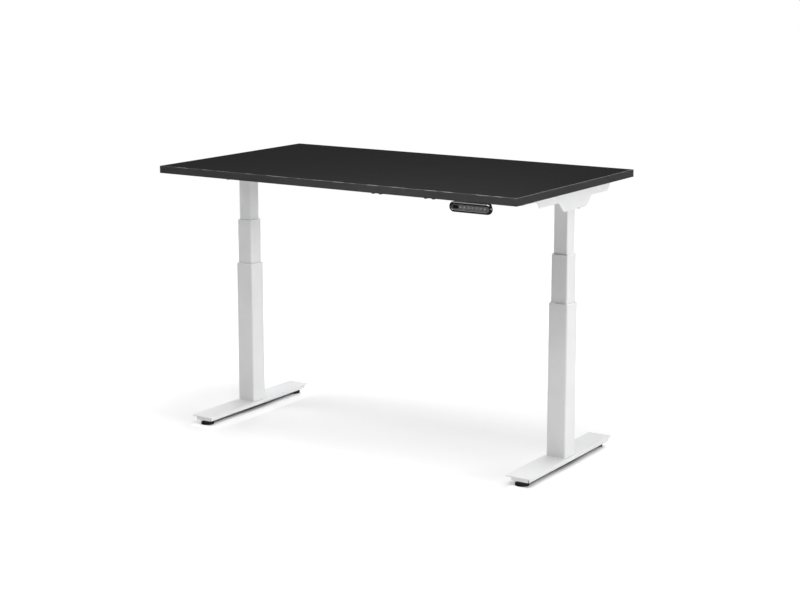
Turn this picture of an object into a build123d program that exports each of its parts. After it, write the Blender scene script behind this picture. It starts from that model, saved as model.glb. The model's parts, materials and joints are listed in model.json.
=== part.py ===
from build123d import *
import os

# A height adjustable desk: a worktop on two three-stage columns, each driven by two screws in line.
# Millimetres. +Z is up, +X runs along the worktop, -Y is the side where the user sits.
# The origin is on the floor, under the middle of the desk.

# Worktop
TOP_WIDTH = 1400.0
TOP_DEPTH = 800.0
TOP_THICKNESS = 25.0
EDGE_BAND = 2.0
EDGE_ROUND = 1.0

# Travel
STROKE = 650.0
REST_LIFT = 289.0

# Columns: square tubes, the widest at the bottom
LEG_INSET = 57.0
LEG_SETBACK = 15.0
OUTER_SIDE = 70.0
MIDDLE_SIDE = 60.0
INNER_SIDE = 50.0
TUBE_WALL = 2.0
OUTER_CORNER = 6.0
MIDDLE_CORNER = 5.0
INNER_CORNER = 4.0
OUTER_LENGTH = 511.0
MIDDLE_PROUD = 13.0
INNER_PROUD = 4.0
MIDDLE_FLOOR_GAP = 26.0
INNER_FLOOR_GAP = 7.5

# Slide bushes between the tubes
COLLAR_DEPTH = 60.0
COLLAR_RIM = 2.0
BUSH_HEIGHT = 40.0
SLIDE_GAP = 0.3
CORNER_EASE = 0.3

# Feet: folded sheet on levelling pads, the same turned half round
FOOT_LENGTH = 584.0
FOOT_WIDTH = 87.0
FOOT_TOP = 34.0
FOOT_SHEET = 3.0
FOOT_WALL = 13.0
FOOT_CORNER = 4.0
FOOT_BEND = 2.4
FOOT_SLIT = 1.5
FOOT_OPEN_CORNER = 23.0
FOOT_WALL_SLANT = 6.0
STIFFENER_WIDTH = 72.0
STIFFENER_LENGTH = 150.0
STIFFENER_THICKNESS = 5.0
PAD_INSET = 35.0
PAD_RADIUS = 23.0
PAD_RIM = 7.0
PAD_HEIGHT = 13.0
PAD_NECK_RADIUS = 9.0
STUD_RADIUS = 4.0
STUD_END_GAP = 1.0
LEVEL_NUT_RADIUS = 8.0
LEVEL_NUT_HEIGHT = 9.0
RUN_FIT = 0.05

# Column base and its bolts
BASE_PLATE = 8.0
FOOT_BOLT_PITCH = 40.0
FOOT_BOLT_RADIUS = 4.0
FOOT_BOLT_HEAD_RADIUS = 6.5
FOOT_BOLT_HEAD = 8.0
BOLT_GAP = 0.2

# Screw drive inside each column
POST_RADIUS = 13.5
POST_WALL = 2.0
LOWER_NUT_LENGTH = 25.0
LOWER_SPINDLE_RADIUS = 11.0
LOWER_FLANGE = 5.4
LEDGE = 8.0
CARRIER_PLATE = 6.0
CARRIER_WALL = 2.0
NUT_HEADROOM = 5.0
POST_RADIAL_GAP = 0.5
POST_CLEARANCE = 16.0
UPPER_NUT_LENGTH = 20.0
UPPER_NUT_FLANGE = 3.0
UPPER_SPINDLE_RADIUS = 6.0
HEX_FLATS = 14.0
HEX_GAP = 0.2
HEX_LENGTH = 15.0
HEX_MARGIN = 15.0
SPINDLE_RUNOUT = 5.0
SPIN_GAP = 0.3

# Column head: arm, gusset and plate
SHEET = 2.5
SHEET_BEND = 3.0
HEAD_HEIGHT = 62.0
GUSSET_BOTTOM_LENGTH = 152.0
GUSSET_TOP_LENGTH = 288.0
GUSSET_TOP_GAP = 2.0
SHELF_WIDTH = 70.0
SHELF_DEPTH = 38.0
SHELF_BOLT_X = 18.0
ARM_WIDTH = 72.0
ARM_HEIGHT = 30.0
ARM_LENGTH = 516.0
ARM_SLANT = 26.0
HEAD_PLATE = 5.0
HEAD_PLATE_LENGTH = 150.0
HEAD_BOLT_X = 25.0
HEAD_BOLT_Y = 62.0
BOLT_RADIUS = 4.0
BOLT_HEAD_RADIUS = 6.5
BOLT_HEAD = 6.0
BOLT_SOCKET_FLATS = 4.0
BOLT_SOCKET_DEPTH = 2.5

# Motor with a planetary gearbox, hung inside the top of the inner tube
MOTOR_RADIUS = 20.0
MOTOR_LENGTH = 80.0
MOTOR_TERMINALS = 6.0
GEARBOX_RADIUS = 21.0
GEARBOX_LENGTH = 30.0
GEARBOX_FLANGE = 6.0
SPINDLE_GRIP = 20.0

# Crossbeam behind the columns
RAIL_SETBACK = 57.0
RAIL_DEPTH = 36.0
RAIL_HEIGHT = 26.0
RAIL_WALL = 1.5
RAIL_OVERLAP = 200.0
SLEEVE_LENGTH = 700.0
SLEEVE_WALL = 2.0
LOCK_INSET = 40.0

# Screws into the worktop
SCREW_RADIUS = 2.5
SCREW_LENGTH = 18.0
SCREW_HEAD_RADIUS = 4.5
SCREW_HEAD = 3.0
ARM_SCREW_X = 20.0
ARM_SCREW_Y = 190.0

# Control box
BOX_X = -150.0
BOX_FORWARD = 50.0
BOX_LENGTH = 240.0
BOX_DEPTH = 110.0
BOX_HEIGHT = 38.0
BOX_CORNER = 6.0
BOX_WALL = 2.5
BOX_EAR = 18.0
BOX_EAR_OFFSET = 40.0
SOCKET_WIDTH = 16.0
SOCKET_HEIGHT = 12.0
SOCKET_PITCH = 26.0
INLET_WIDTH = 28.0
INLET_HEIGHT = 21.0
SOCKET_DEPTH = 14.0
SOCKET_RECESS = 9.0
SOCKET_RIM = 2.0

# Handset
HANDSET_FROM_END = 160.0
HANDSET_WIDTH = 150.0
HANDSET_HEIGHT = 33.0
HANDSET_DEPTH = 62.0
HANDSET_PROUD = 6.0
HANDSET_GAP = 0.5
BEZEL_DEPTH = 12.0
BEZEL_RIM = 8.0
BEZEL_ROUND = 5.0
BEZEL_INNER_ROUND = 2.5
BEZEL_BACK_ROUND = 3.0
PANEL_RECESS = 2.5
PANEL_THICKNESS = 3.0
PANEL_GAP = 0.1
WINDOW_WIDTH = 22.0
WINDOW_HEIGHT = 11.0
WINDOW_THICKNESS = 1.5
WINDOW_CORNER = 3.0
WINDOW_X = -52.0
KEY_COUNT = 7
KEY_PITCH = 14.4
KEY_FIRST_X = -34.0
KEY_RADIUS = 5.0
KEY_GAP = 0.3
KEY_PROUD = 1.0
KEY_SKIRT = 1.0
KEY_TRAVEL = 0.6
KEY_DOME = 0.5
CASE_WIDTH = 84.0
CASE_HEIGHT = 22.0
FLANGE_WIDTH = 78.0
FLANGE_DEPTH = 40.0
FLANGE_SCREW_X = 29.0
NECK_WIDTH = 46.0

# Cable clips under the front edge
CLIP_FROM_HANDSET = (378.0, 350.0, 181.0, 152.0)
CLIP_WIDTH = 8.0
CLIP_DEPTH = 10.0
CLIP_HEIGHT = 6.6
CLIP_TUNNEL_DEPTH = 5.4
CLIP_TUNNEL_HEIGHT = 4.2
CLIP_FRONT_INSET = 26.0

# Places worked out from the sizes above, first with the desk lowered, then at rest
TOP_Y = HANDSET_PROUD / 2
LEG_X = TOP_WIDTH / 2 - LEG_INSET
LEG_Y = TOP_Y + LEG_SETBACK
STAGE = STROKE / 2
MIDDLE_LIFT = REST_LIFT / 2
BASE_TOP = FOOT_TOP + BASE_PLATE
OUTER_TOP = FOOT_TOP + OUTER_LENGTH
MIDDLE_TOP_LOW = OUTER_TOP + COLLAR_RIM + MIDDLE_PROUD
HEAD_BOTTOM_LOW = MIDDLE_TOP_LOW + COLLAR_RIM + INNER_PROUD
MIDDLE_BOTTOM_LOW = BASE_TOP + MIDDLE_FLOOR_GAP
INNER_BOTTOM_LOW = MIDDLE_BOTTOM_LOW + CARRIER_PLATE + INNER_FLOOR_GAP
HEAD_PLATE_DROP = SHEET + HEAD_PLATE
MOTOR_DROP = HEAD_PLATE_DROP + MOTOR_LENGTH + GEARBOX_LENGTH + GEARBOX_FLANGE
GEARBOX_BOTTOM_LOW = HEAD_BOTTOM_LOW + HEAD_HEIGHT - MOTOR_DROP
CARRIER_TOP_LOW = GEARBOX_BOTTOM_LOW - NUT_HEADROOM - UPPER_NUT_FLANGE
UPPER_NUT_BOTTOM_LOW = CARRIER_TOP_LOW - UPPER_NUT_LENGTH
FLANGE_TOP_LOW = UPPER_NUT_BOTTOM_LOW - SPIN_GAP
LEDGE_TOP_LOW = FLANGE_TOP_LOW - LOWER_FLANGE - SPIN_GAP
LOWER_NUT_TOP = LEDGE_TOP_LOW - LEDGE - POST_CLEARANCE
POST_TOP = LOWER_NUT_TOP - LOWER_NUT_LENGTH
LOWER_SPINDLE_BOTTOM_LOW = POST_TOP - STAGE - SPINDLE_RUNOUT
UPPER_SPINDLE_BOTTOM_LOW = UPPER_NUT_BOTTOM_LOW - HEX_MARGIN - HEX_LENGTH - STAGE
UNDERSIDE = HEAD_BOTTOM_LOW + HEAD_HEIGHT + REST_LIFT
REST_HEIGHT = UNDERSIDE + TOP_THICKNESS
HEAD_BOTTOM = UNDERSIDE - HEAD_HEIGHT
HEAD_PLATE_BOTTOM = UNDERSIDE - HEAD_PLATE_DROP
MOTOR_BOTTOM = HEAD_PLATE_BOTTOM - MOTOR_LENGTH
GEARBOX_BOTTOM = UNDERSIDE - MOTOR_DROP
CARRIER_BORE = POST_RADIUS + POST_RADIAL_GAP
CARRIER_RADIUS = CARRIER_BORE + CARRIER_WALL
RAIL_Z = HEAD_BOTTOM + SHEET + RAIL_HEIGHT / 2
PAD_Y = FOOT_LENGTH / 2 - PAD_INSET
PLATE_BOTTOM = FOOT_TOP - FOOT_SHEET
FRONT_EDGE_Y = TOP_Y - TOP_DEPTH / 2
HANDSET_X = TOP_WIDTH / 2 - HANDSET_FROM_END
HANDSET_Z = UNDERSIDE - HANDSET_GAP - HANDSET_HEIGHT / 2
RAIL_Y = LEG_Y + RAIL_SETBACK
BOX_Y = LEG_Y - BOX_FORWARD

# Which way is outwards at each column
SIDES = {"left": -1, "right": 1}


def slab(width, depth, z0, z1, x=0, y=0):
    """Plain block between two heights."""
    return Pos(x, y, (z0 + z1) / 2) * Box(width, depth, z1 - z0)


def rod(radius, z0, z1, x=0, y=0):
    """Upright round bar between two heights."""
    return Pos(x, y, (z0 + z1) / 2) * Cylinder(radius, z1 - z0)


def prism(side, corner, z0, z1):
    """Upright square bar with rounded corners."""
    return Pos(0, 0, z0) * extrude(RectangleRounded(side, side, corner), z1 - z0)


def side_profile(points, width):
    """Solid with an outline in Y and Z, centred across X."""
    return Pos(-width / 2, 0, 0) * extrude(Plane.YZ * Polygon(*points, align=None), width)


def square_tube(side, corner, z0, z1):
    bore = prism(side - 2 * TUBE_WALL, corner - TUBE_WALL, z0, z1)
    return prism(side, corner, z0, z1) - bore


def collar(side, corner, sliding_side, sliding_corner, top):
    """Slide bush in the top of a tube, with a rim that covers the tube's end."""
    skirt = prism(side - 2 * TUBE_WALL, corner - TUBE_WALL + CORNER_EASE, top - COLLAR_DEPTH, top)
    rim = prism(side, corner, top, top + COLLAR_RIM)
    hole_side = sliding_side + 2 * SLIDE_GAP
    hole = prism(hole_side, sliding_corner + SLIDE_GAP, top - COLLAR_DEPTH, top + COLLAR_RIM)
    return skirt + rim - hole


def lower_bush(side, corner, guide_side, guide_corner, bottom):
    """Slide bush round the lower end of a tube, running inside the next wider tube."""
    run_side = guide_side - 2 * TUBE_WALL - 2 * SLIDE_GAP
    ring = prism(run_side, guide_corner - TUBE_WALL, bottom, bottom + BUSH_HEIGHT)
    return ring - prism(side, corner - CORNER_EASE, bottom, bottom + BUSH_HEIGHT)


def at_column(out):
    """Place on the floor under a column."""
    return Pos(out * LEG_X, LEG_Y, 0)


def bolt(head_radius, head, shank_radius, grip):
    """Bolt with its head below z = 0, a hexagon socket in the head, and its shank above."""
    body = rod(head_radius, -head, 0) + rod(shank_radius, 0, grip)
    return body - hexagon(BOLT_SOCKET_FLATS, -head, BOLT_SOCKET_DEPTH - head)


def worktop_screw():
    """Screw with its head under a sheet that lies against the worktop."""
    return bolt(SCREW_HEAD_RADIUS, SCREW_HEAD, SCREW_RADIUS, SCREW_LENGTH)


# Screw places under the worktop: side arms, control box ears and the handset's flange
def screw_places():
    places = []
    for out in SIDES.values():
        for spot in GridLocations(2 * ARM_SCREW_X, 2 * ARM_SCREW_Y, 2, 2):
            places.append((at_column(out) * spot).position)
    for spot in GridLocations(BOX_LENGTH + BOX_EAR, 2 * BOX_EAR_OFFSET, 2, 2):
        places.append((Pos(BOX_X, BOX_Y, 0) * spot).position)
    flange_y = FRONT_EDGE_Y - HANDSET_PROUD + HANDSET_DEPTH - FLANGE_DEPTH / 2
    for spot in GridLocations(2 * FLANGE_SCREW_X, 1, 2, 1):
        places.append((Pos(HANDSET_X, flange_y, 0) * spot).position)
    return places


def worktop():
    board = slab(TOP_WIDTH - 2 * EDGE_BAND, TOP_DEPTH - 2 * EDGE_BAND, UNDERSIDE, REST_HEIGHT, 0, TOP_Y)
    for place in screw_places():
        pilot_top = UNDERSIDE + SCREW_LENGTH - SHEET
        board -= rod(SCREW_RADIUS + RUN_FIT, UNDERSIDE, pilot_top, place.X, place.Y)
    return [board]


def edge_bands():
    strips = []
    for sign in (-1, 1):
        long_y = TOP_Y + sign * (TOP_DEPTH - EDGE_BAND) / 2
        strip = slab(TOP_WIDTH, EDGE_BAND, UNDERSIDE, REST_HEIGHT, 0, long_y)
        face_y = TOP_Y + sign * TOP_DEPTH / 2
        rims = [e for e in strip.edges().filter_by(Axis.X) if abs(e.center().Y - face_y) < EDGE_ROUND]
        strips.append(fillet(rims, EDGE_ROUND))
        short_x = sign * (TOP_WIDTH - EDGE_BAND) / 2
        strip = slab(EDGE_BAND, TOP_DEPTH - 2 * EDGE_BAND, UNDERSIDE, REST_HEIGHT, short_x, TOP_Y)
        face_x = sign * TOP_WIDTH / 2
        rims = [e for e in strip.edges().filter_by(Axis.Y) if abs(e.center().X - face_x) < EDGE_ROUND]
        strips.append(fillet(rims, EDGE_ROUND))
    return strips


def foot_bolt_spots():
    return GridLocations(FOOT_BOLT_PITCH, FOOT_BOLT_PITCH, 2, 2)


def foot():
    """Folded sheet: a plate with a wall and an end flange along each side of two opposite corners."""
    half_length, half_width = FOOT_LENGTH / 2, FOOT_WIDTH / 2
    wall_bottom = FOOT_TOP - FOOT_WALL
    body = extrude(RectangleRounded(FOOT_WIDTH, FOOT_LENGTH, FOOT_CORNER), FOOT_SHEET)
    body = Pos(0, 0, PLATE_BOTTOM) * body
    closed_end = FOOT_CORNER - half_length
    open_end = half_length - FOOT_OPEN_CORNER
    outline = [
        (closed_end, wall_bottom), (open_end - FOOT_WALL_SLANT, wall_bottom),
        (open_end, PLATE_BOTTOM), (closed_end, PLATE_BOTTOM),
    ]
    wall = Pos(half_width - FOOT_SHEET / 2, 0, 0) * side_profile(outline, FOOT_SHEET)
    flange_start = FOOT_OPEN_CORNER - half_width
    flange_end = half_width - FOOT_SHEET - FOOT_SLIT
    flange = slab(
        flange_end - flange_start, FOOT_SHEET, wall_bottom, PLATE_BOTTOM,
        (flange_start + flange_end) / 2, FOOT_SHEET / 2 - half_length,
    )
    for turn in (0, 180):
        body += Rot(0, 0, turn) * (wall + flange)
    rim = body.faces().sort_by(Axis.Z)[-1].outer_wire().edges()
    body = fillet(rim, FOOT_BEND)
    for spot in foot_bolt_spots():
        body -= spot * rod(FOOT_BOLT_RADIUS + BOLT_GAP, PLATE_BOTTOM, FOOT_TOP)
    return body


def foot_stiffener():
    bottom = PLATE_BOTTOM - STIFFENER_THICKNESS
    plate = slab(STIFFENER_WIDTH, STIFFENER_LENGTH, bottom, PLATE_BOTTOM)
    for spot in foot_bolt_spots():
        plate -= spot * rod(FOOT_BOLT_RADIUS + BOLT_GAP, bottom, PLATE_BOTTOM)
    return plate


def foot_bolts():
    seat = PLATE_BOTTOM - STIFFENER_THICKNESS
    grip = BASE_TOP - seat
    one = bolt(FOOT_BOLT_HEAD_RADIUS, FOOT_BOLT_HEAD, FOOT_BOLT_RADIUS, grip)
    return [Pos(0, 0, seat) * spot * one for spot in foot_bolt_spots()]


def pad_spots():
    return GridLocations(1, 2 * PAD_Y, 1, 2)


def levelling_nut():
    bottom = PLATE_BOTTOM - LEVEL_NUT_HEIGHT
    return rod(LEVEL_NUT_RADIUS, bottom, PLATE_BOTTOM) - rod(STUD_RADIUS + RUN_FIT, bottom, PLATE_BOTTOM)


def levelling_foot():
    """Pad with a sloped shoulder and a stud that turns in the nut under the plate."""
    shoulder = Pos(0, 0, (PAD_RIM + PAD_HEIGHT) / 2) * Cone(PAD_RADIUS, PAD_NECK_RADIUS, PAD_HEIGHT - PAD_RIM)
    return rod(PAD_RADIUS, 0, PAD_RIM) + shoulder + rod(STUD_RADIUS, PAD_HEIGHT, PLATE_BOTTOM - STUD_END_GAP)


def base_plate():
    side = OUTER_SIDE - 2 * TUBE_WALL
    plate = prism(side, OUTER_CORNER - TUBE_WALL + CORNER_EASE, FOOT_TOP, BASE_TOP)
    for spot in foot_bolt_spots():
        plate -= spot * rod(FOOT_BOLT_RADIUS + RUN_FIT, FOOT_TOP, BASE_TOP)
    return plate


def nut_post():
    return rod(POST_RADIUS, BASE_TOP, POST_TOP) - rod(POST_RADIUS - POST_WALL, BASE_TOP, POST_TOP)


def lower_nut():
    bore = rod(LOWER_SPINDLE_RADIUS + RUN_FIT, POST_TOP, LOWER_NUT_TOP)
    return rod(POST_RADIUS, POST_TOP, LOWER_NUT_TOP) - bore


def carrier():
    """Plate in the foot of the middle tube, with a tube round the post and a ledge near its top."""
    side = MIDDLE_SIDE - 2 * TUBE_WALL
    plate_top = MIDDLE_BOTTOM_LOW + CARRIER_PLATE
    body = prism(side, MIDDLE_CORNER - TUBE_WALL + CORNER_EASE, MIDDLE_BOTTOM_LOW, plate_top)
    body += rod(CARRIER_RADIUS, MIDDLE_BOTTOM_LOW, CARRIER_TOP_LOW)
    ledge_bottom = LEDGE_TOP_LOW - LEDGE
    body -= rod(CARRIER_BORE, MIDDLE_BOTTOM_LOW, ledge_bottom)
    body -= rod(LOWER_SPINDLE_RADIUS + SPIN_GAP, ledge_bottom, LEDGE_TOP_LOW)
    body -= rod(CARRIER_BORE, LEDGE_TOP_LOW, CARRIER_TOP_LOW)
    return Pos(0, 0, MIDDLE_LIFT) * body


def upper_nut():
    """Flanged nut in the mouth of the carrier, over the head of the lower spindle."""
    top = CARRIER_TOP_LOW + UPPER_NUT_FLANGE
    body = rod(CARRIER_BORE - BOLT_GAP, UPPER_NUT_BOTTOM_LOW, CARRIER_TOP_LOW)
    body += rod(CARRIER_RADIUS, CARRIER_TOP_LOW, top)
    body -= rod(UPPER_SPINDLE_RADIUS + RUN_FIT, UPPER_NUT_BOTTOM_LOW, top)
    return Pos(0, 0, MIDDLE_LIFT) * body


def hexagon(flats, z0, z1):
    return Pos(0, 0, z0) * extrude(RegularPolygon(flats / 2, 6, major_radius=False), z1 - z0)


def lower_spindle():
    """Hollow screw with a flange that hangs on the carrier's ledge and a hexagon bore."""
    body = rod(LOWER_SPINDLE_RADIUS, LOWER_SPINDLE_BOTTOM_LOW, FLANGE_TOP_LOW)
    body += rod(CARRIER_BORE - SPIN_GAP, FLANGE_TOP_LOW - LOWER_FLANGE, FLANGE_TOP_LOW)
    body -= hexagon(HEX_FLATS + 2 * HEX_GAP, LOWER_SPINDLE_BOTTOM_LOW, FLANGE_TOP_LOW)
    return Pos(0, 0, MIDDLE_LIFT) * body


def upper_spindle():
    """Screw with a hexagon foot that slides in the lower spindle and turns it."""
    bottom = UPPER_SPINDLE_BOTTOM_LOW + REST_LIFT
    hex_top = bottom + HEX_LENGTH
    top = GEARBOX_BOTTOM + SPINDLE_GRIP
    return hexagon(HEX_FLATS, bottom, hex_top) + rod(UPPER_SPINDLE_RADIUS, hex_top, top)


def gearbox():
    """Round planetary gearbox on a square flange that fits the inner tube."""
    side = INNER_SIDE - 2 * TUBE_WALL
    flange_top = GEARBOX_BOTTOM + GEARBOX_FLANGE
    body = prism(side, INNER_CORNER - TUBE_WALL + CORNER_EASE, GEARBOX_BOTTOM, flange_top)
    body += rod(GEARBOX_RADIUS, flange_top, MOTOR_BOTTOM)
    return body - rod(UPPER_SPINDLE_RADIUS + RUN_FIT, GEARBOX_BOTTOM, GEARBOX_BOTTOM + SPINDLE_GRIP)


def motor():
    """Motor can with a stepped end that stands against the head plate."""
    can_top = HEAD_PLATE_BOTTOM - MOTOR_TERMINALS
    return rod(MOTOR_RADIUS, MOTOR_BOTTOM, can_top) + rod(MOTOR_RADIUS / 2, can_top, HEAD_PLATE_BOTTOM)


def shelf_bolt_spots():
    return GridLocations(2 * SHELF_BOLT_X, 1, 2, 1)


def head_gusset(out):
    """Trapezoid plate on the outer side of the arm, with a shelf for the crossbeam behind the tube."""
    top = UNDERSIDE - GUSSET_TOP_GAP
    low, high = GUSSET_BOTTOM_LENGTH / 2, GUSSET_TOP_LENGTH / 2
    outline = [(-low, HEAD_BOTTOM), (low, HEAD_BOTTOM), (high, top), (-high, top)]
    plate = Pos(out * (ARM_WIDTH + SHEET) / 2, 0, 0) * side_profile(outline, SHEET)
    shelf_x = out * (ARM_WIDTH / 2 + SHEET - SHELF_WIDTH / 2)
    shelf_y = low - SHELF_DEPTH / 2
    shelf = slab(SHELF_WIDTH, SHELF_DEPTH, HEAD_BOTTOM, HEAD_BOTTOM + SHEET, shelf_x, shelf_y)
    body = plate + shelf
    outer_x = out * (ARM_WIDTH / 2 + SHEET)
    bend = [
        edge for edge in body.edges().filter_by(Axis.Y)
        if abs(edge.center().X - outer_x) < SHEET / 2 and abs(edge.center().Z - HEAD_BOTTOM) < SHEET / 2
    ]
    body = fillet(bend, SHEET / 2)
    for spot in shelf_bolt_spots():
        body -= Pos(0, RAIL_SETBACK, HEAD_BOTTOM) * spot * rod(BOLT_RADIUS + BOLT_GAP, 0, SHEET)
    return body


def side_arm():
    """Channel under the end of the worktop, open below, with slanted ends."""
    long_end = ARM_LENGTH / 2
    short_end = long_end - ARM_SLANT
    bottom = UNDERSIDE - ARM_HEIGHT
    outline = [(-short_end, bottom), (short_end, bottom), (long_end, UNDERSIDE), (-long_end, UNDERSIDE)]
    block = side_profile(outline, ARM_WIDTH)
    bends = block.edges().filter_by(Axis.Y).group_by(Axis.Z)[-1]
    block = fillet(bends, SHEET_BEND)
    web = UNDERSIDE - SHEET
    block -= slab(ARM_WIDTH - 2 * SHEET, ARM_LENGTH, bottom, web)
    for spot in GridLocations(2 * ARM_SCREW_X, 2 * ARM_SCREW_Y, 2, 2):
        block -= spot * rod(SCREW_RADIUS + BOLT_GAP, web, UNDERSIDE)
    for spot in head_bolt_spots():
        block -= spot * rod(BOLT_RADIUS + BOLT_GAP, web, UNDERSIDE)
    return block


def head_bolt_spots():
    return GridLocations(2 * HEAD_BOLT_X, 2 * HEAD_BOLT_Y, 2, 2)


def head_plate():
    """Steel plate welded to the end of the inner tube and bolted up to the arm."""
    width = ARM_WIDTH - 2 * SHEET
    plate = slab(width, HEAD_PLATE_LENGTH, HEAD_PLATE_BOTTOM, UNDERSIDE - SHEET)
    for spot in head_bolt_spots():
        plate -= spot * rod(BOLT_RADIUS + RUN_FIT, HEAD_PLATE_BOTTOM, UNDERSIDE - SHEET)
    return plate


def lock_spots():
    return GridLocations(SLEEVE_LENGTH - 2 * LOCK_INSET, 1, 2, 1)


def frame_bolts():
    """Bolts up through the head plates and the shelves, and the ones that lock the crossbeam."""
    head_bolt = bolt(BOLT_HEAD_RADIUS, BOLT_HEAD, BOLT_RADIUS, HEAD_PLATE_DROP)
    shelf_bolt = bolt(BOLT_HEAD_RADIUS, BOLT_HEAD, BOLT_RADIUS, SHEET + RAIL_WALL)
    lock_bolt = bolt(BOLT_HEAD_RADIUS, BOLT_HEAD, BOLT_RADIUS, SLEEVE_WALL + SLIDE_GAP + RAIL_WALL)
    bolts = []
    for out in SIDES.values():
        for spot in head_bolt_spots():
            bolts.append(at_column(out) * Pos(0, 0, HEAD_PLATE_BOTTOM) * spot * head_bolt)
        for spot in shelf_bolt_spots():
            bolts.append(at_column(out) * Pos(0, RAIL_SETBACK, HEAD_BOTTOM) * spot * shelf_bolt)
    sleeve_bottom = RAIL_Z - RAIL_HEIGHT / 2 - SLIDE_GAP - SLEEVE_WALL
    for spot in lock_spots():
        bolts.append(Pos(0, RAIL_Y, sleeve_bottom) * spot * lock_bolt)
    return bolts


def box_tube(length, depth, height, wall):
    """Rectangular tube along X."""
    return Box(length, depth, height) - Box(length, depth - 2 * wall, height - 2 * wall)


def crossbar_sleeve():
    depth = RAIL_DEPTH + 2 * (SLIDE_GAP + SLEEVE_WALL)
    height = RAIL_HEIGHT + 2 * (SLIDE_GAP + SLEEVE_WALL)
    sleeve = box_tube(SLEEVE_LENGTH, depth, height, SLEEVE_WALL)
    for spot in lock_spots():
        sleeve -= spot * rod(BOLT_RADIUS + BOLT_GAP, -height, 0)
    return [Pos(0, RAIL_Y, RAIL_Z) * sleeve]


def crossbar_rails():
    """Rail at each end, from the gusset into the sleeve."""
    outer_end = LEG_X + ARM_WIDTH / 2
    inner_end = SLEEVE_LENGTH / 2 - RAIL_OVERLAP
    rails = []
    for out in SIDES.values():
        rail = box_tube(outer_end - inner_end, RAIL_DEPTH, RAIL_HEIGHT, RAIL_WALL)
        rail = Pos(out * (outer_end + inner_end) / 2, 0, 0) * rail
        column_x = out * LEG_X
        holes = [out * (SLEEVE_LENGTH / 2 - LOCK_INSET), column_x - SHELF_BOLT_X, column_x + SHELF_BOLT_X]
        for x in holes:
            rail -= rod(BOLT_RADIUS + BOLT_GAP, -RAIL_HEIGHT, 0, x)
        rails.append(Pos(0, RAIL_Y, RAIL_Z) * rail)
    return rails


def worktop_screws():
    return [Pos(p.X, p.Y, UNDERSIDE - SHEET) * worktop_screw() for p in screw_places()]


def box_socket_places():
    """Socket widths, heights and places: three at one end of the box, the inlet at the other."""
    z = UNDERSIDE - SHEET - (BOX_HEIGHT - SHEET) / 2
    right_end = BOX_X + BOX_LENGTH / 2
    places = [(SOCKET_WIDTH, SOCKET_HEIGHT, right_end, BOX_Y + i * SOCKET_PITCH, z, 1) for i in (-1, 0, 1)]
    return places + [(INLET_WIDTH, INLET_HEIGHT, right_end - BOX_LENGTH, BOX_Y, z, -1)]


def control_box():
    """Open-topped shell, with holes in its ends for the sockets."""
    bottom, top = UNDERSIDE - BOX_HEIGHT, UNDERSIDE - SHEET
    outer = extrude(RectangleRounded(BOX_LENGTH, BOX_DEPTH, BOX_CORNER), top - bottom)
    floor_edges = outer.edges().group_by(Axis.Z)[0]
    outer = fillet(floor_edges, BOX_WALL)
    cavity = RectangleRounded(BOX_LENGTH - 2 * BOX_WALL, BOX_DEPTH - 2 * BOX_WALL, BOX_CORNER - BOX_WALL)
    shell = outer - Pos(0, 0, BOX_WALL) * extrude(cavity, top - bottom)
    shell = Pos(BOX_X, BOX_Y, bottom) * shell
    for width, height, x, y, z, _ in box_socket_places():
        shell -= Pos(x, y, z) * Box(SOCKET_DEPTH, width, height)
    return [shell]


def control_box_lid():
    """Flat lid with an ear at each end for the worktop screws."""
    top = UNDERSIDE - SHEET
    lid = extrude(RectangleRounded(BOX_LENGTH + 2 * BOX_EAR, BOX_DEPTH, BOX_CORNER), SHEET)
    for spot in GridLocations(BOX_LENGTH + BOX_EAR, 2 * BOX_EAR_OFFSET, 2, 2):
        lid -= spot * rod(SCREW_RADIUS + BOLT_GAP, 0, SHEET)
    return [Pos(BOX_X, BOX_Y, top) * lid]


def control_sockets():
    """Sockets set into the ends of the box, each with an open mouth."""
    sockets = []
    for width, height, x, y, z, way in box_socket_places():
        block = Pos(-way * SOCKET_DEPTH / 2, 0, 0) * Box(SOCKET_DEPTH, width, height)
        mouth = Box(SOCKET_RECESS, width - 2 * SOCKET_RIM, height - 2 * SOCKET_RIM)
        block -= Pos(-way * SOCKET_RECESS / 2, 0, 0) * mouth
        sockets.append(Pos(x, y, z) * block)
    return sockets


# Handset pieces are drawn face up, with z = 0 at the front of the bezel, then stood up
HANDSET_FRAME = Pos(HANDSET_X, FRONT_EDGE_Y - HANDSET_PROUD, HANDSET_Z) * Rot(90, 0, 0)
PANEL_TOP = -PANEL_RECESS
PANEL_BOTTOM = PANEL_TOP - PANEL_THICKNESS
OPENING_WIDTH = HANDSET_WIDTH - 2 * BEZEL_RIM
OPENING_HEIGHT = HANDSET_HEIGHT - 2 * BEZEL_RIM
KEY_BACK = PANEL_BOTTOM - KEY_SKIRT


def pill(width, height, z0, z1):
    return Pos(0, 0, z0) * extrude(SlotOverall(width, height), z1 - z0)


def key_places():
    return [KEY_FIRST_X + i * KEY_PITCH for i in range(KEY_COUNT)]


def handset_bezel():
    """Pill-shaped ring, well rounded in front, inside and out, and a little behind."""
    body = pill(HANDSET_WIDTH, HANDSET_HEIGHT, -BEZEL_DEPTH, 0)
    body = fillet(body.faces().sort_by(Axis.Z)[-1].edges(), BEZEL_ROUND)
    body = fillet(body.faces().sort_by(Axis.Z)[0].edges(), BEZEL_BACK_ROUND)
    body -= pill(OPENING_WIDTH, OPENING_HEIGHT, -BEZEL_DEPTH, 0)
    mouth = body.faces().sort_by(Axis.Z)[-1].inner_wires()[0].edges()
    return [HANDSET_FRAME * fillet(mouth, BEZEL_INNER_ROUND)]


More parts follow.
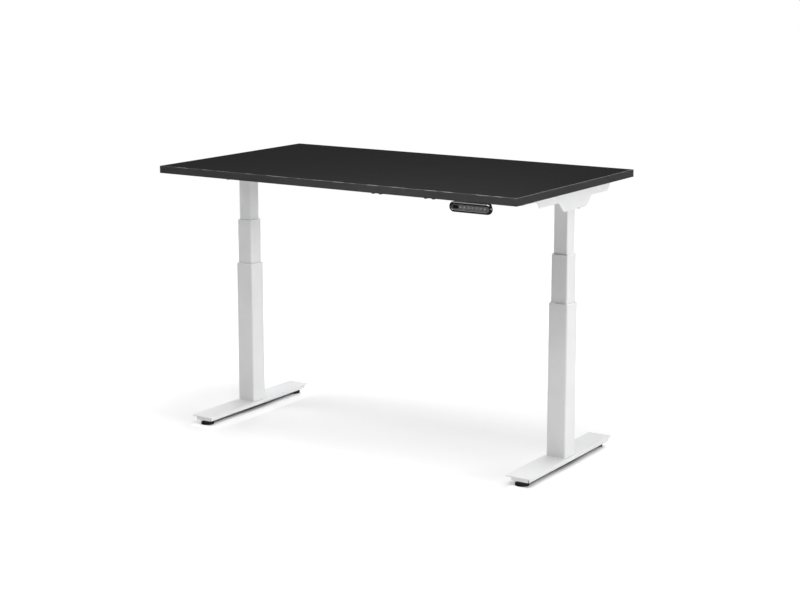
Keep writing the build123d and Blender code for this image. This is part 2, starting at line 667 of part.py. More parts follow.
def handset_panel():
    """Key panel with a hole for each key and a seat for the display window."""
    panel = pill(OPENING_WIDTH - 2 * PANEL_GAP, OPENING_HEIGHT - 2 * PANEL_GAP, PANEL_BOTTOM, PANEL_TOP)
    for x in key_places():
        panel -= rod(KEY_RADIUS + KEY_GAP, PANEL_BOTTOM, PANEL_TOP, x)
    seat = RectangleRounded(WINDOW_WIDTH + 2 * PANEL_GAP, WINDOW_HEIGHT + 2 * PANEL_GAP, WINDOW_CORNER)
    panel -= Pos(WINDOW_X, 0, PANEL_TOP - WINDOW_THICKNESS) * extrude(seat, WINDOW_THICKNESS)
    return [HANDSET_FRAME * panel]


def display_window():
    pane = extrude(RectangleRounded(WINDOW_WIDTH, WINDOW_HEIGHT, WINDOW_CORNER), WINDOW_THICKNESS)
    return [HANDSET_FRAME * Pos(WINDOW_X, 0, PANEL_TOP - WINDOW_THICKNESS) * pane]


def handset_key(x):
    """Round key with a softened rim."""
    key = rod(KEY_RADIUS, KEY_BACK, PANEL_TOP + KEY_PROUD)
    key = fillet(key.edges().group_by(Axis.Z)[-1], KEY_DOME)
    return [HANDSET_FRAME * Pos(x, 0, 0) * key]


def handset_case():
    """Rear body with a plug behind the panel, key wells and a flange under the worktop."""
    body = pill(OPENING_WIDTH - 2 * PANEL_GAP, OPENING_HEIGHT - 2 * PANEL_GAP, -BEZEL_DEPTH, PANEL_BOTTOM)
    body += pill(CASE_WIDTH, CASE_HEIGHT, -HANDSET_DEPTH, -BEZEL_DEPTH)
    flange_top = HANDSET_HEIGHT / 2 + HANDSET_GAP
    flange_z = FLANGE_DEPTH / 2 - HANDSET_DEPTH
    body += Pos(0, flange_top - SHEET / 2, flange_z) * Box(FLANGE_WIDTH, SHEET, FLANGE_DEPTH)
    neck_height = flange_top - SHEET
    body += Pos(0, neck_height / 2, flange_z) * Box(NECK_WIDTH, neck_height, FLANGE_DEPTH)
    for x in (-FLANGE_SCREW_X, FLANGE_SCREW_X):
        hole = Pos(x, flange_top - SHEET / 2, flange_z) * Rot(90, 0, 0)
        body -= hole * Cylinder(SCREW_RADIUS + BOLT_GAP, SHEET)
    well_bottom = KEY_BACK - KEY_TRAVEL - SPIN_GAP
    for x in key_places():
        body -= rod(KEY_RADIUS + KEY_GAP, well_bottom, PANEL_BOTTOM, x)
    return [HANDSET_FRAME * body]


def cable_clips():
    """Small saddle clips with a tunnel for a lead along the front edge."""
    y = FRONT_EDGE_Y + CLIP_FRONT_INSET + CLIP_DEPTH / 2
    saddle = Box(CLIP_WIDTH, CLIP_DEPTH, CLIP_HEIGHT) - Box(CLIP_WIDTH, CLIP_TUNNEL_DEPTH, CLIP_TUNNEL_HEIGHT)
    return [Pos(HANDSET_X - place, y, UNDERSIDE - CLIP_HEIGHT / 2) * saddle for place in CLIP_FROM_HANDSET]


def on_both_legs(solid):
    return [at_column(out) * solid for out in SIDES.values()]


def all_nodes():
    """Every node's name and its solids."""
    middle_bottom = MIDDLE_BOTTOM_LOW + MIDDLE_LIFT
    middle_top = MIDDLE_TOP_LOW + MIDDLE_LIFT
    inner_bottom = INNER_BOTTOM_LOW + REST_LIFT
    nodes = {
        "worktop": worktop(),
        "edge_bands": edge_bands(),
        "worktop_screws": worktop_screws(),
        "foot_stiffeners": on_both_legs(foot_stiffener()),
        "foot_bolts": [at_column(out) * one for out in SIDES.values() for one in foot_bolts()],
        "levelling_nuts": [
            at_column(out) * spot * levelling_nut() for out in SIDES.values() for spot in pad_spots()
        ],
        "column_base_plates": on_both_legs(base_plate()),
        "outer_collars": on_both_legs(
            collar(OUTER_SIDE, OUTER_CORNER, MIDDLE_SIDE, MIDDLE_CORNER, OUTER_TOP)
        ),
        "nut_posts": on_both_legs(nut_post()),
        "lower_nuts": on_both_legs(lower_nut()),
        "inner_columns": on_both_legs(square_tube(INNER_SIDE, INNER_CORNER, inner_bottom, HEAD_PLATE_BOTTOM)),
        "inner_bushes": on_both_legs(
            lower_bush(INNER_SIDE, INNER_CORNER, MIDDLE_SIDE, MIDDLE_CORNER, inner_bottom)
        ),
        "head_gussets": [at_column(out) * head_gusset(out) for out in SIDES.values()],
        "side_arms": on_both_legs(side_arm()),
        "head_plates": on_both_legs(head_plate()),
        "frame_bolts": frame_bolts(),
        "gearboxes": on_both_legs(gearbox()),
        "motors": on_both_legs(motor()),
        "crossbar_sleeve": crossbar_sleeve(),
        "crossbar_rails": crossbar_rails(),
        "control_box": control_box(),
        "control_box_lid": control_box_lid(),
        "control_sockets": control_sockets(),
        "handset_case": handset_case(),
        "handset_bezel": handset_bezel(),
        "handset_panel": handset_panel(),
        "display_window": display_window(),
        "cable_clips": cable_clips(),
    }
    for number, x in enumerate(key_places(), start=1):
        nodes[f"handset_key_{number}"] = handset_key(x)
    for side, out in SIDES.items():
        pieces = {
            "foot": foot(),
            "outer_column": square_tube(OUTER_SIDE, OUTER_CORNER, FOOT_TOP, OUTER_TOP),
            "middle_column": square_tube(MIDDLE_SIDE, MIDDLE_CORNER, middle_bottom, middle_top),
            "middle_collar": collar(MIDDLE_SIDE, MIDDLE_CORNER, INNER_SIDE, INNER_CORNER, middle_top),
            "middle_bush": lower_bush(MIDDLE_SIDE, MIDDLE_CORNER, OUTER_SIDE, OUTER_CORNER, middle_bottom),
            "carrier": carrier(),
            "upper_nut": upper_nut(),
            "lower_spindle": lower_spindle(),
            "upper_spindle": upper_spindle(),
        }
        for name, solid in pieces.items():
            nodes[f"{side}_{name}"] = [at_column(out) * solid]
        for end, way in (("front", -1), ("back", 1)):
            place = at_column(out) * Pos(0, way * PAD_Y, 0)
            nodes[f"{end}_{side}_levelling_foot"] = [place * levelling_foot()]
    return nodes


os.makedirs("parts", exist_ok=True)
for node, solids in all_nodes().items():
    shape = solids[0] if len(solids) == 1 else Compound(solids)
    export_step(shape, f"parts/{node}.step")
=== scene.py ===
import json
import math

import bpy
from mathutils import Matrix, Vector


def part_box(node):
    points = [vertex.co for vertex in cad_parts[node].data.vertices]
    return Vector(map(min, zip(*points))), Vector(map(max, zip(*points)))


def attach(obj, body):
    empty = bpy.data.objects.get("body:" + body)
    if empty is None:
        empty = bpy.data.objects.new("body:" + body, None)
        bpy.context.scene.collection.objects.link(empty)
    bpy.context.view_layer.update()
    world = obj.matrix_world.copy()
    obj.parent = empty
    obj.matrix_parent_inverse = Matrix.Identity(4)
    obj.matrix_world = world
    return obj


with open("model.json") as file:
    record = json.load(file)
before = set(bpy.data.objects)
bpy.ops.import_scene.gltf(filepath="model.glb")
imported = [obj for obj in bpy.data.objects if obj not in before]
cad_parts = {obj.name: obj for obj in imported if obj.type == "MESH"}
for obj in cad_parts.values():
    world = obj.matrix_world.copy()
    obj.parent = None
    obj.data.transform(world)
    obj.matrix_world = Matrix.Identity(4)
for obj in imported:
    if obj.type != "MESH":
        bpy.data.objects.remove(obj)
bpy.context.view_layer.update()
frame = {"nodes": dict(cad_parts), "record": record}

# Finishes, key marks, floor, light and camera for a height adjustable desk. Metres.

# Camera, placed from the middle of the worktop's upper face
CAMERA_FROM_TOP = (3.1606, -4.7934, 0.7434)
CAMERA_YAW = math.radians(33.222)
CAMERA_PITCH = math.radians(10.218)
CAMERA_LENS = 76.61
CAMERA_SHIFT_UP = -0.06

# Floor, and the share of it that reflections lose
FLOOR_SIZE = 60.0
FLOOR_WHITE = (0.93, 0.93, 0.93, 1.0)
# Painted shade: the floor's colour deep below the feet
FLOOR_PAINTED_SHADE = (0.25, 0.25, 0.25, 1.0)
FLOOR_ROUGHNESS = 0.9
GLOSS_DIMMING = 0.93

# Glow that lifts the floor to white for the camera, on open floor and beside the feet; beside the feet it is
# painted light over the floor's shade
FLOOR_GLOW = 0.30
FOOT_GLOW = 0.42

# Distances outside a foot's edge over which the painted shade below it ends and the glow starts
SHADE_OUT = 0.004
SHADE_RANGE = (-0.034, -0.024)
CLEAR_RANGE = (-0.034, -0.002)
FOOT_GLOW_RANGE = (-0.002, 0.060)

# Where the worktop's faint shadow, a painted band in which the glow is held back, fades: away from the
# middle, to the left and to the right
SHADOW_DEPTH = (0.12, 0.60)
SHADOW_LEFT = (-1.40, -0.85)
SHADOW_RIGHT = (0.62, 0.72)

# White room, and the distances over which the floor runs into it
HORIZON_RANGE = (2.2, 5.5)
SKY_WHITE = 1.0
SKY_LIGHT = 0.04

# Wide far lights: azimuth from +X, elevation, width, all in degrees, then strength
LAMP_DISTANCE = 6.0
FAR_LIGHTS = {
    "right_light": (0.0, 4.0, 24.0, 1.9),
    "back_light": (90.0, 40.0, 60.0, 2.0),
    "left_back_light": (150.0, 30.0, 60.0, 0.7),
    "right_back_light": (35.0, 48.0, 50.0, 0.35),
    "front_light": (-132.0, 46.0, 36.0, 0.72),
    "high_light": (-90.0, 66.0, 44.0, 0.48),
}

# Soft box above the front edge, right of the middle
BOX_PLACE = (0.45, -0.85, 1.75)
BOX_AIM = (0.35, -0.25, 0.94)
BOX_SIZE = 0.7
BOX_POWER = 9.0

# Masks shared by the finishes
MASK_LOW = 0.3
MASK_HIGH = 0.7
PEEL_DETAIL = 2.0
DRIFT_SCALE = 7.0
DRIFT_DETAIL = 3.0
BLOTCH_SCALE = 11.0
BLOTCH_DETAIL = 4.0
STREAK_DETAIL = 3.0

# Worktop board
BOARD_TONES = (0.019, 0.024)
BOARD_ROUGHNESS = (0.52, 0.64)
BOARD_STREAKS = {"Along_X": 9.0, "Along_Y": 420.0, "Along_Z": 420.0}
BOARD_RELIEF = 0.00004

# Painted highlight along the front upper edge of the worktop: a paler line, broken up by noise
ARRIS = 0.0016
ARRIS_GLINT = (0.30, 0.30, 0.30, 1.0)
GLINT_SCALE = 22.0
GLINT_DETAIL = 3.0
GLINT_RANGE = (0.42, 0.60)

# Bare metal
METAL_STREAKS = {"Along_X": 500.0, "Along_Y": 500.0, "Along_Z": 8.0}
METAL_RELIEF = 0.00003
METAL_ROUGHNESS = (0.28, 0.42)
STEEL_COLOURS = ((0.42, 0.42, 0.4242), (0.58, 0.58, 0.5858))
BRASS_COLOURS = ((0.55, 0.38, 0.14), (0.72, 0.53, 0.24))

# Drive screws
THREAD_PITCH = 0.005
THREAD_RELIEF = 0.0004
# Tones from the grooves up to the crests: the darker grooves are painted shade
THREAD_TONES = (0.30, 0.56)
THREAD_ROUGHNESS = (0.25, 0.4)

# Polished mouldings
COAT_INDEX = 1.8
COAT_ROUGHNESS = 0.04
POLISH_ROUGHNESS = (0.10, 0.18)

# Coatings and mouldings: two tones, two roughnesses, scale and depth of the grain
COATINGS = {
    "black_band": dict(tones=(0.040, 0.050), rough=(0.34, 0.46), grain=700.0, depth=0.00004, specular=0.4),
    "white_coat": dict(tones=(0.80, 0.84), rough=(0.48, 0.58), grain=850.0, depth=0.00005, specular=0.3),
    "collar_plastic": dict(
        tones=(0.93, 0.96), rough=(0.26, 0.34), grain=500.0, depth=0.00002, specular=0.6, sheen=1.0
    ),
    "bush_plastic": dict(tones=(0.22, 0.27), rough=(0.45, 0.55), grain=500.0, depth=0.00003),
    "dark_screws": dict(tones=(0.020, 0.032), rough=(0.32, 0.42), grain=600.0, depth=0.00003, metallic=0.6),
    "gear_casting": dict(tones=(0.40, 0.52), rough=(0.45, 0.60), grain=420.0, depth=0.00012, metallic=0.9),
    "motor_coat": dict(tones=(0.030, 0.042), rough=(0.35, 0.45), grain=600.0, depth=0.00004),
    "black_plastic": dict(tones=(0.022, 0.032), rough=(0.45, 0.58), grain=900.0, depth=0.00008, specular=0.4),
    "panel_grey": dict(tones=(0.085, 0.110), rough=(0.40, 0.50), grain=800.0, depth=0.00003, specular=0.3),
    "key_grey": dict(tones=(0.115, 0.140), rough=(0.45, 0.55), grain=900.0, depth=0.00003, specular=0.3),
    "pad_black": dict(tones=(0.016, 0.024), rough=(0.50, 0.65), grain=700.0, depth=0.00006, specular=0.3),
    "mark_print": dict(tones=(0.22, 0.27), rough=(0.45, 0.55), grain=900.0, depth=0.00001, specular=0.3),
}

# Key marks
MARK_DEPTH = 0.00016
DIGIT_SIZE = 0.0058
ARROW_RADIUS = 0.0030
RING_RADIUS = 0.0026
RING_WIDTH = 0.0007
RING_POINTS = 32
UPRIGHT = math.radians(90)
HALF_TURN = math.radians(180)


def group_of(name, inputs, outputs):
    """Empty shader node group with named float inputs and outputs."""
    group = bpy.data.node_groups.new(name, "ShaderNodeTree")
    for label, value in inputs.items():
        socket = group.interface.new_socket(label, in_out="INPUT", socket_type="NodeSocketFloat")
        socket.default_value = value
    for label in outputs:
        group.interface.new_socket(label, in_out="OUTPUT", socket_type="NodeSocketFloat")
    return group, group.nodes.new("NodeGroupInput"), group.nodes.new("NodeGroupOutput")


def add_noise(tree, scale, detail):
    """Noise on Object coordinates."""
    place = tree.nodes.new("ShaderNodeTexCoord")
    noise = tree.nodes.new("ShaderNodeTexNoise")
    noise.inputs["Scale"].default_value = scale
    noise.inputs["Detail"].default_value = detail
    tree.links.new(place.outputs["Object"], noise.inputs["Vector"])
    return noise


def split_place(tree):
    """Object coordinates as separate X, Y and Z."""
    place = tree.nodes.new("ShaderNodeTexCoord")
    split = tree.nodes.new("ShaderNodeSeparateXYZ")
    tree.links.new(place.outputs["Object"], split.inputs["Vector"])
    return split.outputs


def joined(tree, operation, first, second):
    """Math node on two values, each a socket or a number."""
    node = tree.nodes.new("ShaderNodeMath")
    node.operation = operation
    for socket, value in zip(node.inputs, (first, second)):
        if isinstance(value, float):
            socket.default_value = value
        else:
            tree.links.new(value, socket)
    return node.outputs["Value"]


def smooth_step(tree, value, start, end, first=0.0, last=1.0):
    """Smooth ramp from one value to another while the input goes from start to end."""
    node = tree.nodes.new("ShaderNodeMapRange")
    node.interpolation_type = "SMOOTHSTEP"
    node.inputs["From Min"].default_value = start
    node.inputs["From Max"].default_value = end
    node.inputs["To Min"].default_value = first
    node.inputs["To Max"].default_value = last
    tree.links.new(value, node.inputs["Value"])
    return node.outputs["Result"]


def fine_grain_group():
    """Orange-peel height and slow drifts of tone, for coatings and mouldings."""
    group, entry, result = group_of("fine_grain", {"Scale": 900.0}, ("Height", "Tone"))
    peel = add_noise(group, 1.0, PEEL_DETAIL)
    group.links.new(entry.outputs["Scale"], peel.inputs["Scale"])
    drift = add_noise(group, DRIFT_SCALE, DRIFT_DETAIL)
    group.links.new(peel.outputs["Fac"], result.inputs["Height"])
    group.links.new(drift.outputs["Fac"], result.inputs["Tone"])
    return group


def handling_group():
    """Roughness that wanders between two values, as on a surface that is wiped by hand."""
    group, entry, result = group_of("handling", {"Smooth": 0.3, "Rough": 0.5}, ("Roughness",))
    blotch = add_noise(group, BLOTCH_SCALE, BLOTCH_DETAIL)
    spread = group.nodes.new("ShaderNodeMapRange")
    spread.inputs["From Min"].default_value = MASK_LOW
    spread.inputs["From Max"].default_value = MASK_HIGH
    group.links.new(blotch.outputs["Fac"], spread.inputs["Value"])
    group.links.new(entry.outputs["Smooth"], spread.inputs["To Min"])
    group.links.new(entry.outputs["Rough"], spread.inputs["To Max"])
    group.links.new(spread.outputs["Result"], result.inputs["Roughness"])
    return group


def streaks_group():
    """Fine lines along one axis, for brushed metal and board grain."""
    scales = {"Along X": 6.0, "Along Y": 300.0, "Along Z": 300.0}
    group, entry, result = group_of("streaks", scales, ("Line",))
    place = group.nodes.new("ShaderNodeTexCoord")
    stretch = group.nodes.new("ShaderNodeCombineXYZ")
    for axis, label in zip("XYZ", scales):
        group.links.new(entry.outputs[label], stretch.inputs[axis])
    scaled = group.nodes.new("ShaderNodeVectorMath")
    scaled.operation = "MULTIPLY"
    noise = group.nodes.new("ShaderNodeTexNoise")
    noise.inputs["Scale"].default_value = 1.0
    noise.inputs["Detail"].default_value = STREAK_DETAIL
    group.links.new(place.outputs["Object"], scaled.inputs[0])
    group.links.new(stretch.outputs["Vector"], scaled.inputs[1])
    group.links.new(scaled.outputs["Vector"], noise.inputs["Vector"])
    group.links.new(noise.outputs["Fac"], result.inputs["Line"])
    return group


def thread_group():
    """Ridges up a screw."""
    group, entry, result = group_of("thread", {"Pitch": 0.004}, ("Height",))
    turns = joined(group, "DIVIDE", split_place(group)["Z"], entry.outputs["Pitch"])
    ridge = joined(group, "PINGPONG", turns, 0.5)
    group.links.new(ridge, result.inputs["Height"])
    return group


GRAIN = fine_grain_group()
HANDLING = handling_group()
STREAKS = streaks_group()
THREAD = thread_group()


def place_group(tree, group, **values):
    """Node group in a material, with its inputs set."""
    node = tree.nodes.new("ShaderNodeGroup")
    node.node_tree = group
    for label, value in values.items():
        node.inputs[label.replace("_", " ")].default_value = value
    return node


def blank(name):
    """New material with its node tree and its shader."""
    material = bpy.data.materials.new(name)
    material.use_nodes = True
    return material, material.node_tree, material.node_tree.nodes["Principled BSDF"]


def grey(level):
    """Grey that leans a little to blue."""
    return (level, level, level * 1.01)


def tone_colour(tree, shader, mask, dark, light):
    """Base colour that runs from one tone to another with a mask."""
    ramp = tree.nodes.new("ShaderNodeValToRGB")
    ramp.color_ramp.elements[0].position = MASK_LOW
    ramp.color_ramp.elements[1].position = MASK_HIGH
    ramp.color_ramp.elements[0].color = (*dark, 1.0)
    ramp.color_ramp.elements[1].color = (*light, 1.0)
    tree.links.new(mask, ramp.inputs["Fac"])
    tree.links.new(ramp.outputs["Color"], shader.inputs["Base Color"])


def relief(tree, shader, height, depth):
    """Bump of a given depth."""
    bump = tree.nodes.new("ShaderNodeBump")
    bump.inputs["Strength"].default_value = 1.0
    bump.inputs["Distance"].default_value = depth
    tree.links.new(height, bump.inputs["Height"])
    tree.links.new(bump.outputs["Normal"], shader.inputs["Normal"])


def handled(tree, shader, roughness):
    """Roughness with handled patches."""
    smooth, rough = roughness
    wiped = place_group(tree, HANDLING, Smooth=smooth, Rough=rough)
    tree.links.new(wiped.outputs["Roughness"], shader.inputs["Roughness"])


def coated(name, tones, rough, grain, depth, specular=0.5, metallic=0.0, sheen=0.0):
    """A coating or moulding with a fine grain, a drifting tone and handled patches."""
    material, tree, shader = blank(name)
    shader.inputs["Specular IOR Level"].default_value = specular
    shader.inputs["Metallic"].default_value = metallic
    shader.inputs["Sheen Weight"].default_value = sheen
    peel = place_group(tree, GRAIN, Scale=grain)
    tone_colour(tree, shader, peel.outputs["Tone"], *map(grey, tones))
    relief(tree, shader, peel.outputs["Height"], depth)
    handled(tree, shader, rough)
    return material


def black_board():
    """Matt black melamine with a faint grain along the worktop."""
    material, tree, shader = blank("black_board")
    shader.inputs["Specular IOR Level"].default_value = 0.0
    lines = place_group(tree, STREAKS, **BOARD_STREAKS)
    tone_colour(tree, shader, lines.outputs["Line"], *map(grey, BOARD_TONES))
    relief(tree, shader, lines.outputs["Line"], BOARD_RELIEF)
    handled(tree, shader, BOARD_ROUGHNESS)
    return material


def paint_edge_glint(material):
    """Painted highlight: a broken, paler line along the front upper corner of the edge band."""
    tree = material.node_tree
    base = tree.nodes["Principled BSDF"].inputs["Base Color"]
    plain = base.links[0].from_socket
    low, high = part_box("edge_bands")
    place = split_place(tree)
    upper = smooth_step(tree, place["Z"], high.z - ARRIS, high.z)
    front = smooth_step(tree, place["Y"], low.y + 2 * ARRIS, low.y + ARRIS)
    broken = smooth_step(tree, add_noise(tree, GLINT_SCALE, GLINT_DETAIL).outputs["Fac"], *GLINT_RANGE)
    # Mask of the painted highlight: upper front corner of the band, broken up by noise
    glint = joined(tree, "MULTIPLY", joined(tree, "MULTIPLY", upper, front), broken)
    mix = tree.nodes.new("ShaderNodeMix")
    mix.data_type = "RGBA"
    tree.links.new(glint, mix.inputs["Factor"])
    tree.links.new(plain, mix.inputs["A"])
    mix.inputs["B"].default_value = ARRIS_GLINT
    tree.links.new(mix.outputs["Result"], base)


def machined(name, dark, light):
    """Bare metal with fine upright lines."""
    material, tree, shader = blank(name)
    shader.inputs["Metallic"].default_value = 1.0
    lines = place_group(tree, STREAKS, **METAL_STREAKS)
    tone_colour(tree, shader, lines.outputs["Line"], dark, light)
    relief(tree, shader, lines.outputs["Line"], METAL_RELIEF)
    handled(tree, shader, METAL_ROUGHNESS)
    return material


def threaded(name):
    """Steel screw with rolled ridges and painted shade down in the grooves."""
    material, tree, shader = blank(name)
    shader.inputs["Metallic"].default_value = 1.0
    ridges = place_group(tree, THREAD, Pitch=THREAD_PITCH)
    tone_colour(tree, shader, ridges.outputs["Height"], *map(grey, THREAD_TONES))
    relief(tree, shader, ridges.outputs["Height"], THREAD_RELIEF)
    handled(tree, shader, THREAD_ROUGHNESS)
    return material


def polished(name, tones, coat, specular):
    """Polished black moulding under a clear coat."""
    material, tree, shader = blank(name)
    shader.inputs["Specular IOR Level"].default_value = specular
    shader.inputs["Coat Weight"].default_value = coat
    shader.inputs["Coat IOR"].default_value = COAT_INDEX
    shader.inputs["Coat Roughness"].default_value = COAT_ROUGHNESS
    drift = place_group(tree, GRAIN)
    tone_colour(tree, shader, drift.outputs["Tone"], *map(grey, tones))
    handled(tree, shader, POLISH_ROUGHNESS)
    return material


FINISHES = {name: coated(name, **setting) for name, setting in COATINGS.items()}
FINISHES["black_board"] = black_board()
FINISHES["steel"] = machined("steel", *STEEL_COLOURS)
FINISHES["nut_brass"] = machined("nut_brass", *BRASS_COLOURS)
FINISHES["gloss_black"] = polished("gloss_black", tones=(0.004, 0.007), coat=1.0, specular=1.0)
FINISHES["window_dark"] = polished("window_dark", tones=(0.003, 0.005), coat=0.5, specular=0.5)
# Paint a broken highlight along the edge band's front upper corner
paint_edge_glint(FINISHES["black_band"])
SCREW_FINISH = threaded("rolled_thread")
SPINDLES = [f"{side}_{level}_spindle" for side in ("left", "right") for level in ("upper", "lower")]


def dress_nodes():
    """Give every CAD piece the finish of its material slot."""
    for entry in frame["record"]["subparts"]:
        finish = FINISHES[entry["material_slot"]]
        if entry["node"] in SPINDLES:
            finish = SCREW_FINISH
        mesh = frame["nodes"][entry["node"]].data
        mesh.materials.clear()
        mesh.materials.append(finish)


def deselect():
    """Leave edit mode and select nothing."""
    if bpy.context.object and bpy.context.object.mode != "OBJECT":
        bpy.ops.object.mode_set(mode="OBJECT")
    bpy.ops.object.select_all(action="DESELECT")


def key_face(number):
    """Middle of a key's front face."""
    low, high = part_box(f"handset_key_{number}")
    return Vector(((low.x + high.x) / 2, low.y, (low.z + high.z) / 2))


def settle(piece, name, body, finish):
    """Apply a piece's place to its mesh, and make it ride on its body."""
    bpy.ops.object.transform_apply(location=True, rotation=True, scale=True)
    piece.name = name
    piece.data.name = name
    piece.data.materials.clear()
    piece.data.materials.append(finish)
    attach(piece, body)


def seat_mark(piece, number):
    """Turn a flat mark to face the user, half sunk in the key's face."""
    piece.location = key_face(number)
    piece.rotation_euler = (UPRIGHT, 0.0, 0.0)
    settle(piece, f"key_{number}_mark", f"key_{number}", FINISHES["mark_print"])


def thicken():
    """Give a flat mark its depth, both ways from its middle."""
    bpy.ops.object.mode_set(mode="EDIT")
    bpy.ops.mesh.select_all(action="SELECT")
    bpy.ops.transform.translate(value=(0.0, 0.0, -MARK_DEPTH / 2))
    bpy.ops.mesh.extrude_region_move(TRANSFORM_OT_translate={"value": (0.0, 0.0, MARK_DEPTH)})
    bpy.ops.mesh.select_all(action="SELECT")
    bpy.ops.mesh.normals_make_consistent(inside=False)
    bpy.ops.object.mode_set(mode="OBJECT")


def digit_mark(number, text):
    deselect()
    bpy.ops.object.text_add()
    piece = bpy.context.object
    piece.data.body = text
    piece.data.align_x = "CENTER"
    piece.data.align_y = "CENTER"
    piece.data.size = DIGIT_SIZE
    piece.data.extrude = MARK_DEPTH / 2
    bpy.ops.object.convert(target="MESH")
    seat_mark(bpy.context.object, number)


def arrow_mark(number, turn):
    deselect()
    bpy.ops.mesh.primitive_circle_add(vertices=3, radius=ARROW_RADIUS, fill_type="NGON")
    piece = bpy.context.object
    piece.rotation_euler = (0.0, 0.0, turn)
    bpy.ops.object.transform_apply(location=True, rotation=True, scale=True)
    thicken()
    seat_mark(piece, number)


def ring_mark(number):
    deselect()
    bpy.ops.mesh.primitive_circle_add(vertices=RING_POINTS, radius=RING_RADIUS, fill_type="NGON")
    piece = bpy.context.object
    bpy.ops.object.mode_set(mode="EDIT")
    bpy.ops.mesh.select_all(action="SELECT")
    bpy.ops.mesh.inset(thickness=RING_WIDTH)
    bpy.ops.mesh.delete(type="FACE")
    bpy.ops.object.mode_set(mode="OBJECT")
    thicken()
    seat_mark(piece, number)


def mark_keys():
    """Raise, lower, four stored heights and a store key."""
    arrow_mark(1, 0.0)
    arrow_mark(2, HALF_TURN)
    for number, digit in zip((3, 4, 5, 6), "1234"):
        digit_mark(number, digit)
    ring_mark(7)


def ray_kind(tree, kind):
    """1 for rays of one kind, 0 for all others."""
    return tree.nodes.new("ShaderNodeLightPath").outputs[kind]


def off_the_feet(tree, across, along):
    """How far a floor point lies outside the shade of the nearer foot, and 1 off that foot's left edge."""
    low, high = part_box("right_foot")
    half = (high - low) / 2
    middle = (low + high) / 2
    side = joined(tree, "SIGN", across, 0.0)
    foot = joined(tree, "MULTIPLY", side, middle.x + SHADE_OUT)
    across = joined(tree, "SUBTRACT", across, foot)
    along = joined(tree, "SUBTRACT", along, middle.y)
    gaps = []
    for value, reach in ((across, half.x), (along, half.y)):
        gaps.append(joined(tree, "SUBTRACT", joined(tree, "ABSOLUTE", value, 0.0), reach))
    return joined(tree, "MAXIMUM", *gaps), smooth_step(tree, across, -half.x, -half.x / 2)


def below_worktop(tree, across, along):
    """1 in the painted band of the worktop's faint shadow, 0 well outside it."""
    depth = smooth_step(tree, joined(tree, "ABSOLUTE", along, 0.0), *SHADOW_DEPTH, 1.0, 0.0)
    left = smooth_step(tree, across, *SHADOW_LEFT)
    right = smooth_step(tree, across, *SHADOW_RIGHT, 1.0, 0.0)
    return joined(tree, "MULTIPLY", depth, joined(tree, "MULTIPLY", left, right))


def floor_glow(tree, across, along, outside, seen_side):
    """Glow for the camera alone, held back in a painted shadow band below the worktop and raised beside the
    feet as painted light.
    """
    clear = smooth_step(tree, outside, *CLEAR_RANGE)
    fading = smooth_step(tree, outside, *FOOT_GLOW_RANGE, FOOT_GLOW, 0.0)
    by_foot = joined(tree, "MULTIPLY", fading, seen_side)
    lit = joined(tree, "SUBTRACT", 1.0, below_worktop(tree, across, along))
    strength = joined(tree, "MAXIMUM", by_foot, joined(tree, "MULTIPLY", lit, FLOOR_GLOW))
    seen = joined(tree, "MULTIPLY", clear, ray_kind(tree, "Is Camera Ray"))
    glow = tree.nodes.new("ShaderNodeEmission")
    tree.links.new(joined(tree, "MULTIPLY", seen, strength), glow.inputs["Strength"])
    return glow.outputs["Emission"]


def floor_colour(tree, shader, outside):
    """White floor, with painted shade deep below the feet."""
    under = tree.nodes.new("ShaderNodeMix")
    under.data_type = "RGBA"
    under.inputs["A"].default_value = FLOOR_PAINTED_SHADE
    under.inputs["B"].default_value = FLOOR_WHITE
    tree.links.new(smooth_step(tree, outside, *SHADE_RANGE), under.inputs["Factor"])
    tree.links.new(under.outputs["Result"], shader.inputs["Base Color"])


def floor_finish():
    """Matt white floor that keeps its shadow near the desk, with painted shade below the feet and a painted
    shadow band below the worktop, and runs into plain white far away.
    """
    material, tree, shader = blank("studio_floor")
    shader.inputs["Roughness"].default_value = FLOOR_ROUGHNESS
    shader.inputs["Specular IOR Level"].default_value = 0.0
    place = split_place(tree)
    across, along = place["X"], place["Y"]
    outside, seen_side = off_the_feet(tree, across, along)
    floor_colour(tree, shader, outside)

    dimmed = tree.nodes.new("ShaderNodeMixShader")
    dimming = joined(tree, "MULTIPLY", ray_kind(tree, "Is Glossy Ray"), GLOSS_DIMMING)
    tree.links.new(dimming, dimmed.inputs["Fac"])
    tree.links.new(shader.outputs["BSDF"], dimmed.inputs[1])
    near = tree.nodes.new("ShaderNodeAddShader")
    tree.links.new(dimmed.outputs["Shader"], near.inputs[0])
    tree.links.new(floor_glow(tree, across, along, outside, seen_side), near.inputs[1])

    point = tree.nodes.new("ShaderNodeTexCoord")
    distance = tree.nodes.new("ShaderNodeVectorMath")
    distance.operation = "LENGTH"
    tree.links.new(point.outputs["Object"], distance.inputs[0])
    far = smooth_step(tree, distance.outputs["Value"], *HORIZON_RANGE)
    plain = tree.nodes.new("ShaderNodeEmission")
    plain.inputs["Strength"].default_value = SKY_WHITE
    blend = tree.nodes.new("ShaderNodeMixShader")
    tree.links.new(joined(tree, "MULTIPLY", far, ray_kind(tree, "Is Camera Ray")), blend.inputs["Fac"])
    tree.links.new(near.outputs["Shader"], blend.inputs[1])
    tree.links.new(plain.outputs["Emission"], blend.inputs[2])
    output = tree.nodes["Material Output"]
    tree.links.new(blend.outputs["Shader"], output.inputs["Surface"])
    return material


def lay_floor():
    deselect()
    bpy.ops.mesh.primitive_plane_add(size=FLOOR_SIZE)
    floor = bpy.context.object
    floor.name = "studio_floor"
    floor.data.materials.append(floor_finish())


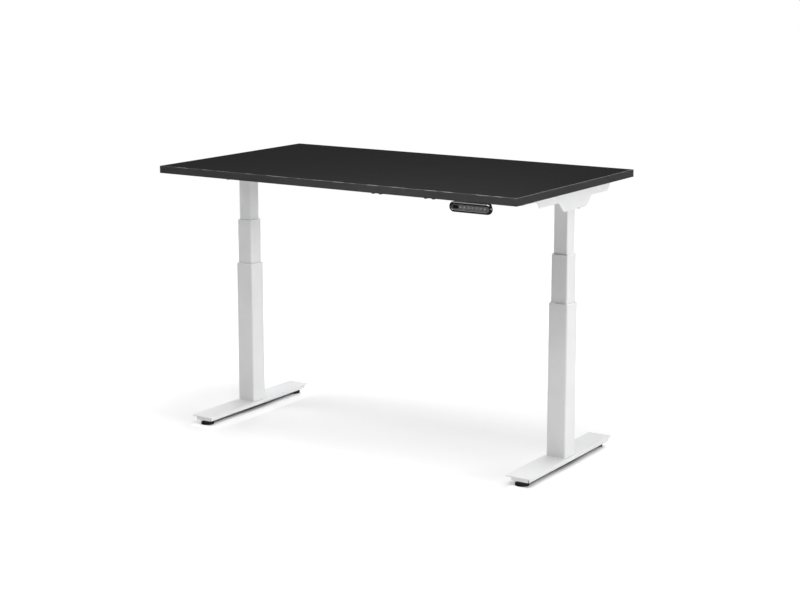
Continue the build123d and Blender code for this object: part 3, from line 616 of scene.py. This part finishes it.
def white_room():
    """World that is plain white to the eye and lights the desk more gently."""
    world = bpy.data.worlds.new("white_room")
    bpy.context.scene.world = world
    world.use_nodes = True
    tree = world.node_tree
    background = tree.nodes["Background"]
    background.inputs["Color"].default_value = (1.0, 1.0, 1.0, 1.0)
    strength = tree.nodes.new("ShaderNodeMapRange")
    strength.inputs["To Min"].default_value = SKY_LIGHT
    strength.inputs["To Max"].default_value = SKY_WHITE
    tree.links.new(ray_kind(tree, "Is Camera Ray"), strength.inputs["Value"])
    tree.links.new(strength.outputs["Result"], background.inputs["Strength"])


def soft_box():
    """Square lamp that lights the front right of the worktop."""
    deselect()
    bpy.ops.object.light_add(type="AREA", location=BOX_PLACE)
    lamp = bpy.context.object
    lamp.name = "soft_box"
    lamp.data.size = BOX_SIZE
    lamp.data.energy = BOX_POWER
    lamp.rotation_euler = (Vector(BOX_AIM) - Vector(BOX_PLACE)).to_track_quat("-Z", "Y").to_euler()


def far_light(name, azimuth, elevation, width, strength):
    """Sun lamp with a wide disc, so its shadows are soft."""
    turn = math.radians(azimuth)
    climb = math.radians(elevation)
    flat = math.cos(climb)
    towards = Vector((flat * math.cos(turn), flat * math.sin(turn), math.sin(climb)))
    deselect()
    bpy.ops.object.light_add(type="SUN", location=towards * LAMP_DISTANCE)
    lamp = bpy.context.object
    lamp.name = name
    lamp.data.angle = math.radians(width)
    lamp.data.energy = strength
    lamp.rotation_euler = towards.to_track_quat("Z", "Y").to_euler()


def set_camera():
    deselect()
    bpy.ops.object.camera_add()
    camera = bpy.context.object
    low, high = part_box("worktop")
    top_centre = Vector(((low.x + high.x) / 2, (low.y + high.y) / 2, high.z))
    camera.location = top_centre + Vector(CAMERA_FROM_TOP)
    camera.rotation_euler = (UPRIGHT - CAMERA_PITCH, 0.0, CAMERA_YAW)
    camera.data.lens = CAMERA_LENS
    camera.data.shift_y = CAMERA_SHIFT_UP
    bpy.context.scene.camera = camera


dress_nodes()
mark_keys()
lay_floor()
white_room()
for lamp_name, setting in FAR_LIGHTS.items():
    far_light(lamp_name, *setting)
soft_box()
set_camera()
bpy.context.scene.view_settings.view_transform = "Standard"
